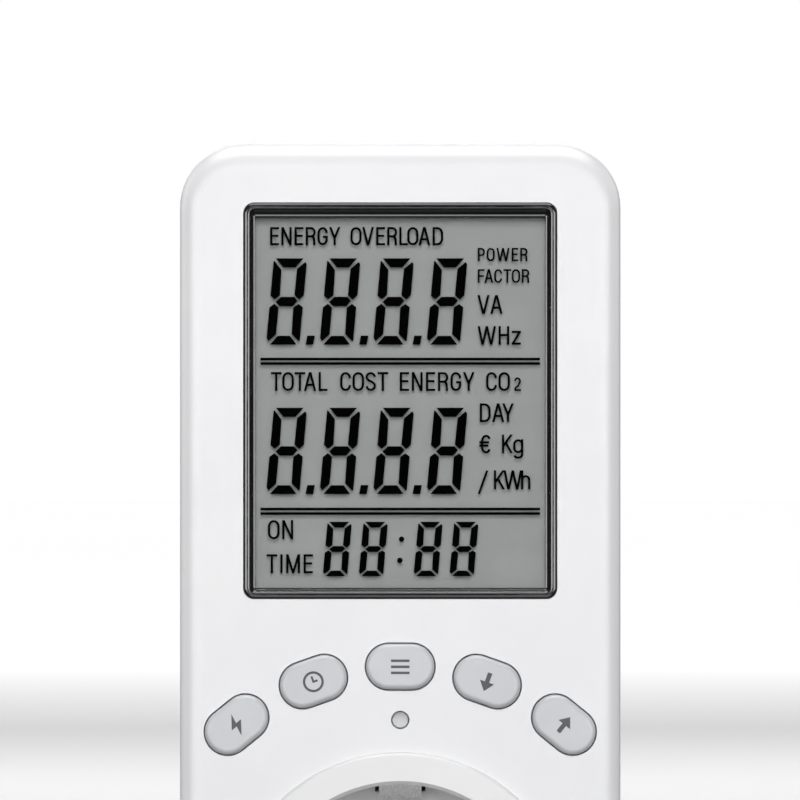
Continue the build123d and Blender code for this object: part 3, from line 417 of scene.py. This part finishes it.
def bump(tree, shader, source, strength, height):
    """Fine relief; height is in metres."""
    node = tree.nodes.new("ShaderNodeBump")
    node.inputs["Strength"].default_value = strength
    node.inputs["Distance"].default_value = height
    tree.links.new(source, node.inputs["Height"])
    tree.links.new(node.outputs["Normal"], shader.inputs["Normal"])


def surface(
    name, dark, light, rough, grain=1200.0, relief=0.02,
    metallic=0.0, blotch=60.0, stretch=(1, 1, 1), specular=0.5,
):
    """A surface with slow colour drift, varied roughness and fine relief, which is in millimetres."""
    mat, shader, tree = new_material(name)
    tree.links.new(ramp(tree, noise(tree, blotch, 4.0), dark, light), shader.inputs["Base Color"])
    wear = noise(tree, grain * 0.4, 3.0, 0.6, stretch)
    tree.links.new(ramp(tree, wear, *rough), shader.inputs["Roughness"])
    bump(tree, shader, noise(tree, grain, 2.0, 0.5, stretch), 0.5, relief * MM)
    shader.inputs["Metallic"].default_value = metallic
    shader.inputs["Specular IOR Level"].default_value = specular
    return mat


EDGE_BLEND = 0.35  # how soon a clear sheet's sheen comes in as it turns away
EDGE_POWER = 2.5


def clear(name, tint, haze):
    """Clear sheet: nearly invisible head on, with a sheen at a slant and faint unevenness."""
    mat = bpy.data.materials.new(name)
    mat.use_nodes = True
    tree = mat.node_tree
    tree.nodes.clear()
    out = tree.nodes.new("ShaderNodeOutputMaterial")
    see = tree.nodes.new("ShaderNodeBsdfTransparent")
    see.inputs["Color"].default_value = (*tint, 1)
    gloss = tree.nodes.new("ShaderNodeBsdfGlossy")
    tree.links.new(ramp(tree, noise(tree, 90.0, 3.0), 0.02, 0.05), gloss.inputs["Roughness"])
    weight = tree.nodes.new("ShaderNodeLayerWeight")
    weight.inputs["Blend"].default_value = EDGE_BLEND
    power = tree.nodes.new("ShaderNodeMath")
    power.operation = "POWER"
    power.inputs[1].default_value = EDGE_POWER
    tree.links.new(weight.outputs["Facing"], power.inputs[0])
    scale = tree.nodes.new("ShaderNodeMath")
    scale.operation = "MULTIPLY"
    scale.inputs[1].default_value = haze
    tree.links.new(power.outputs[0], scale.inputs[0])
    mix = tree.nodes.new("ShaderNodeMixShader")
    tree.links.new(scale.outputs[0], mix.inputs["Fac"])
    tree.links.new(see.outputs[0], mix.inputs[1])
    tree.links.new(gloss.outputs[0], mix.inputs[2])
    tree.links.new(mix.outputs[0], out.inputs["Surface"])
    return mat


def grey(value):
    """An even grey."""
    return (value, value, value)


WHITE_A, WHITE_B = (0.731, 0.731, 0.745), (0.751, 0.751, 0.763)
MATERIALS = {  # for each of the record's material slots
    "shell": surface("shell_plastic", WHITE_A, WHITE_B, (0.36, 0.44), grain=2600, relief=0.010),
    "bezel": surface(
        "bezel_gloss", (0.006, 0.006, 0.007), (0.010, 0.010, 0.011), (0.05, 0.10), grain=1500, relief=0.001,
    ),
    "lens": clear("lens_clear", grey(1.0), 0.5),
    "lcd_glass": clear("cell_glass", (0.995, 1.0, 0.998), 0.2),
    "lcd_reflector": surface(
        "reflector_film", (0.300, 0.302, 0.302), (0.318, 0.320, 0.320), (0.45, 0.6),
        grain=6000, relief=0.002, blotch=200, specular=0.15,
    ),
    "lcd_pattern": surface(
        "liquid_crystal", grey(0.001), grey(0.0016), (0.5, 0.7), grain=4000, relief=0.001, specular=0.0,
    ),
    "inner_plastic": surface("carrier_white", (0.62, 0.62, 0.60), (0.68, 0.68, 0.66), (0.5, 0.6)),
    "zebra_rubber": surface(
        "contact_rubber", (0.55, 0.20, 0.24), (0.62, 0.26, 0.30), (0.6, 0.75), grain=4000,
    ),
    "circuit_board": surface("solder_mask", (0.012, 0.12, 0.04), (0.02, 0.16, 0.06), (0.3, 0.4), grain=3000),
    "key_plastic": surface(
        "key_satin", (0.50, 0.51, 0.53), (0.53, 0.54, 0.56), (0.38, 0.46), grain=2200, relief=0.008,
    ),
    "switch_plastic": surface("switch_black", grey(0.02), grey(0.03), (0.5, 0.6)),
    "plunger_plastic": surface("plunger_black", grey(0.05), grey(0.07), (0.3, 0.4)),
    "socket_plastic": surface(
        "socket_white", (0.70, 0.70, 0.705), (0.73, 0.73, 0.735), (0.30, 0.38), grain=2600, relief=0.008,
    ),
    "shutter_plastic": surface("shutter_grey", (0.32, 0.33, 0.34), (0.36, 0.37, 0.38), (0.45, 0.55)),
    "carrier_plastic": surface("carrier_dark", grey(0.03), grey(0.05), (0.5, 0.6)),
    "spring_steel": surface(
        "spring_strip", grey(0.52), (0.62, 0.62, 0.61), (0.22, 0.34),
        metallic=1.0, grain=1500, stretch=(6, 0.6, 0.6),
    ),
    "plated_steel": surface(
        "zinc_screw", (0.55, 0.56, 0.58), (0.66, 0.67, 0.69), (0.25, 0.38), metallic=1.0, grain=2500,
    ),
    "plated_brass": surface(
        "nickel_pin", (0.62, 0.60, 0.56), (0.70, 0.68, 0.64), (0.14, 0.26),
        metallic=1.0, grain=2200, stretch=(1, 8, 1),
    ),
    "brass": surface("brass_strip", (0.60, 0.42, 0.16), (0.70, 0.50, 0.22), (0.25, 0.38), metallic=1.0),
    "shunt_alloy": surface("shunt_wire", (0.55, 0.36, 0.24), (0.62, 0.42, 0.30), (0.3, 0.4), metallic=1.0),
    "film_capacitor_case": surface("capacitor_yellow", (0.52, 0.44, 0.04), (0.60, 0.50, 0.06), (0.35, 0.45)),
    "capacitor_sleeve": surface("capacitor_blue", (0.02, 0.02, 0.06), (0.03, 0.03, 0.09), (0.3, 0.4)),
    "varistor_coating": surface("varistor_blue", (0.01, 0.05, 0.22), (0.02, 0.08, 0.30), (0.3, 0.42)),
    "fuse_glass": surface("fuse_caps", (0.60, 0.60, 0.58), (0.68, 0.68, 0.66), (0.2, 0.3), metallic=1.0),
    "moulded_black": surface("epoxy_black", grey(0.015), grey(0.025), (0.5, 0.6)),
    "crystal_can": surface(
        "crystal_steel", (0.60, 0.60, 0.61), (0.68, 0.68, 0.69), (0.25, 0.35), metallic=1.0,
    ),
    "cell_sleeve": surface("cell_green", (0.03, 0.22, 0.07), (0.05, 0.28, 0.10), (0.4, 0.5)),
    "header_gold": surface(
        "header_plating", (0.70, 0.50, 0.16), (0.78, 0.58, 0.22), (0.2, 0.3), metallic=1.0,
    ),
}

for entry in frame["record"]["subparts"]:
    obj = NODES[entry["node"]]
    obj.data.materials.clear()
    obj.data.materials.append(MATERIALS[entry["material_slot"]])
legends.data.materials.append(MATERIALS["lcd_pattern"])
key_ink = surface(
    "key_ink", (0.030, 0.032, 0.036), (0.040, 0.042, 0.046), (0.5, 0.6), grain=4000, relief=0.001,
)
for symbol in symbols:
    symbol.data.materials.append(key_ink)


# ---------------------------------------------------------------- floor
FLOOR_R = 6.0
FLOOR_GAP = 0.2 * MM  # below the object
FLOOR_FADE = 1.6  # metres from the object to where the floor's glow is full
PLAIN_FLOOR = 0.6  # the fade's value where the glow starts: it is 1 under the object and 0 at FLOOR_FADE
BACKDROP_GLOW = 0.8


def make_floor():
    """A wide pale floor under the object, brighter far away, where the studio's backdrop would be."""
    bm = bmesh.new()
    bmesh.ops.create_circle(bm, cap_ends=True, segments=96, radius=FLOOR_R)
    bmesh.ops.translate(bm, verts=bm.verts, vec=(0, 0, FLOOR_Z - FLOOR_GAP))
    floor = finish_mesh(bm, "studio_floor")
    mat = surface("floor_pale", grey(0.80), grey(0.83), (0.7, 0.8), grain=300, blotch=3, specular=0.1)
    tree = mat.node_tree
    shader = next(n for n in tree.nodes if n.type == "BSDF_PRINCIPLED")
    coords = tree.nodes.new("ShaderNodeTexCoord")
    mapping = tree.nodes.new("ShaderNodeMapping")
    mapping.inputs["Scale"].default_value = (1 / FLOOR_FADE, 1 / FLOOR_FADE, 0)
    fade = tree.nodes.new("ShaderNodeTexGradient")
    fade.gradient_type = "SPHERICAL"
    tree.links.new(coords.outputs["Object"], mapping.inputs["Vector"])
    tree.links.new(mapping.outputs["Vector"], fade.inputs["Vector"])
    shader.inputs["Emission Color"].default_value = (1, 1, 1, 1)
    glow = ramp(tree, fade.outputs["Fac"], BACKDROP_GLOW, 0.0, 0.0, PLAIN_FLOOR)
    tree.links.new(glow, shader.inputs["Emission Strength"])
    floor.data.materials.append(mat)
    floor.visible_diffuse = False
    floor.visible_glossy = False


# ---------------------------------------------------------------- lights
AIM = Vector((0, FACE_Y, WINDOW_Z))
SOFT_BOXES = [  # name, azimuth, elevation, reach, width, height, radiance, lights matte, lights glossy
    ("key_front", 0, 23, 1.00, 0.50, 0.78, 7.0, True, False),
    ("key_glow", 0, 33, 1.00, 0.50, 0.70, 0.7, False, True),
    ("ceiling", 0, 85, 0.80, 0.90, 0.90, 8.0, False, True),
    ("strip_left", -28, 0, 1.00, 0.93, 0.30, 9.5, False, True),
    ("strip_right", 28, 0, 1.00, 0.93, 0.30, 9.5, False, True),
    ("fill_low", 0, -19, 1.00, 0.40, 0.26, 5.5, False, True),
    ("table_glow", 0, -60, 1.00, 0.60, 0.80, 0.3, False, True),
    ("side_left", -112, 18, 0.90, 0.70, 0.70, 2.2, True, True),
    ("side_right", 112, 18, 0.90, 0.70, 0.70, 1.6, True, True),
    ("rear_high", 180, 28, 1.00, 0.80, 0.60, 2.5, True, True),
]


def soft_box(name, azimuth, elevation, reach, width, height, radiance, matte, gloss):
    """A soft box facing the display from a direction in degrees, for matte or for glossy light or both."""
    a, e = math.radians(azimuth), math.radians(elevation)
    away = Vector((math.sin(a) * math.cos(e), -math.cos(a) * math.cos(e), math.sin(e)))
    data = bpy.data.lights.new(name, "AREA")
    data.shape = "RECTANGLE"
    data.size, data.size_y = width, height
    data.energy = radiance * math.pi * width * height
    light = bpy.data.objects.new(name, data)
    bpy.context.scene.collection.objects.link(light)
    light.location = AIM + away * reach
    light.rotation_euler = away.to_track_quat("Z", "Y").to_euler()
    light.visible_camera = False
    light.visible_diffuse = matte
    light.visible_glossy = gloss


make_floor()
for box in SOFT_BOXES:
    soft_box(*box)


# ---------------------------------------------------------------- sky
SKY_SEEN, SKY_IN_GLOSS, SKY_ON_MATTE = 1.0, 0.06, 0.25

world = bpy.data.worlds.new("studio")
bpy.context.scene.world = world
world.use_nodes = True
tree = world.node_tree
tree.nodes.clear()
output = tree.nodes.new("ShaderNodeOutputWorld")
path = tree.nodes.new("ShaderNodeLightPath")


def sky(strength):
    """An even white sky."""
    node = tree.nodes.new("ShaderNodeBackground")
    node.inputs["Color"].default_value = (1, 1, 1, 1)
    node.inputs["Strength"].default_value = strength
    return node.outputs["Background"]


def choose(ray, otherwise, when):
    """One sky for a kind of ray and another for the rest."""
    node = tree.nodes.new("ShaderNodeMixShader")
    tree.links.new(path.outputs[ray], node.inputs["Fac"])
    tree.links.new(otherwise, node.inputs[1])
    tree.links.new(when, node.inputs[2])
    return node.outputs["Shader"]


lighting = choose("Is Glossy Ray", sky(SKY_ON_MATTE), sky(SKY_IN_GLOSS))
seen = choose("Is Camera Ray", lighting, sky(SKY_SEEN))
tree.links.new(seen, output.inputs["Surface"])

CLEAR_BOUNCES = 24  # enough to cross the three clear sheets in front of the display's reflector
bpy.context.scene.view_settings.view_transform = "Standard"
bpy.context.scene.cycles.transparent_max_bounces = CLEAR_BOUNCES


# ---------------------------------------------------------------- camera
FRAME_W = 112.28 * MM  # width of the view at the housing's front face
CAMERA_X, CAMERA_RISE = -0.035 * MM, 0.114 * MM  # from the window's centre
LENS_LENGTH, SENSOR_W = 300.0, 36.0  # millimetres

camera_data = bpy.data.cameras.new("camera")
camera_data.lens, camera_data.sensor_width = LENS_LENGTH, SENSOR_W
camera_data.clip_start, camera_data.clip_end = 0.01, 50.0
camera = bpy.data.objects.new("camera", camera_data)
bpy.context.scene.collection.objects.link(camera)
reach = FRAME_W * LENS_LENGTH / SENSOR_W
camera.location = (CAMERA_X, FACE_Y - reach, WINDOW_Z + CAMERA_RISE)
camera.rotation_euler = (math.radians(90), 0, 0)
bpy.context.scene.camera = camera
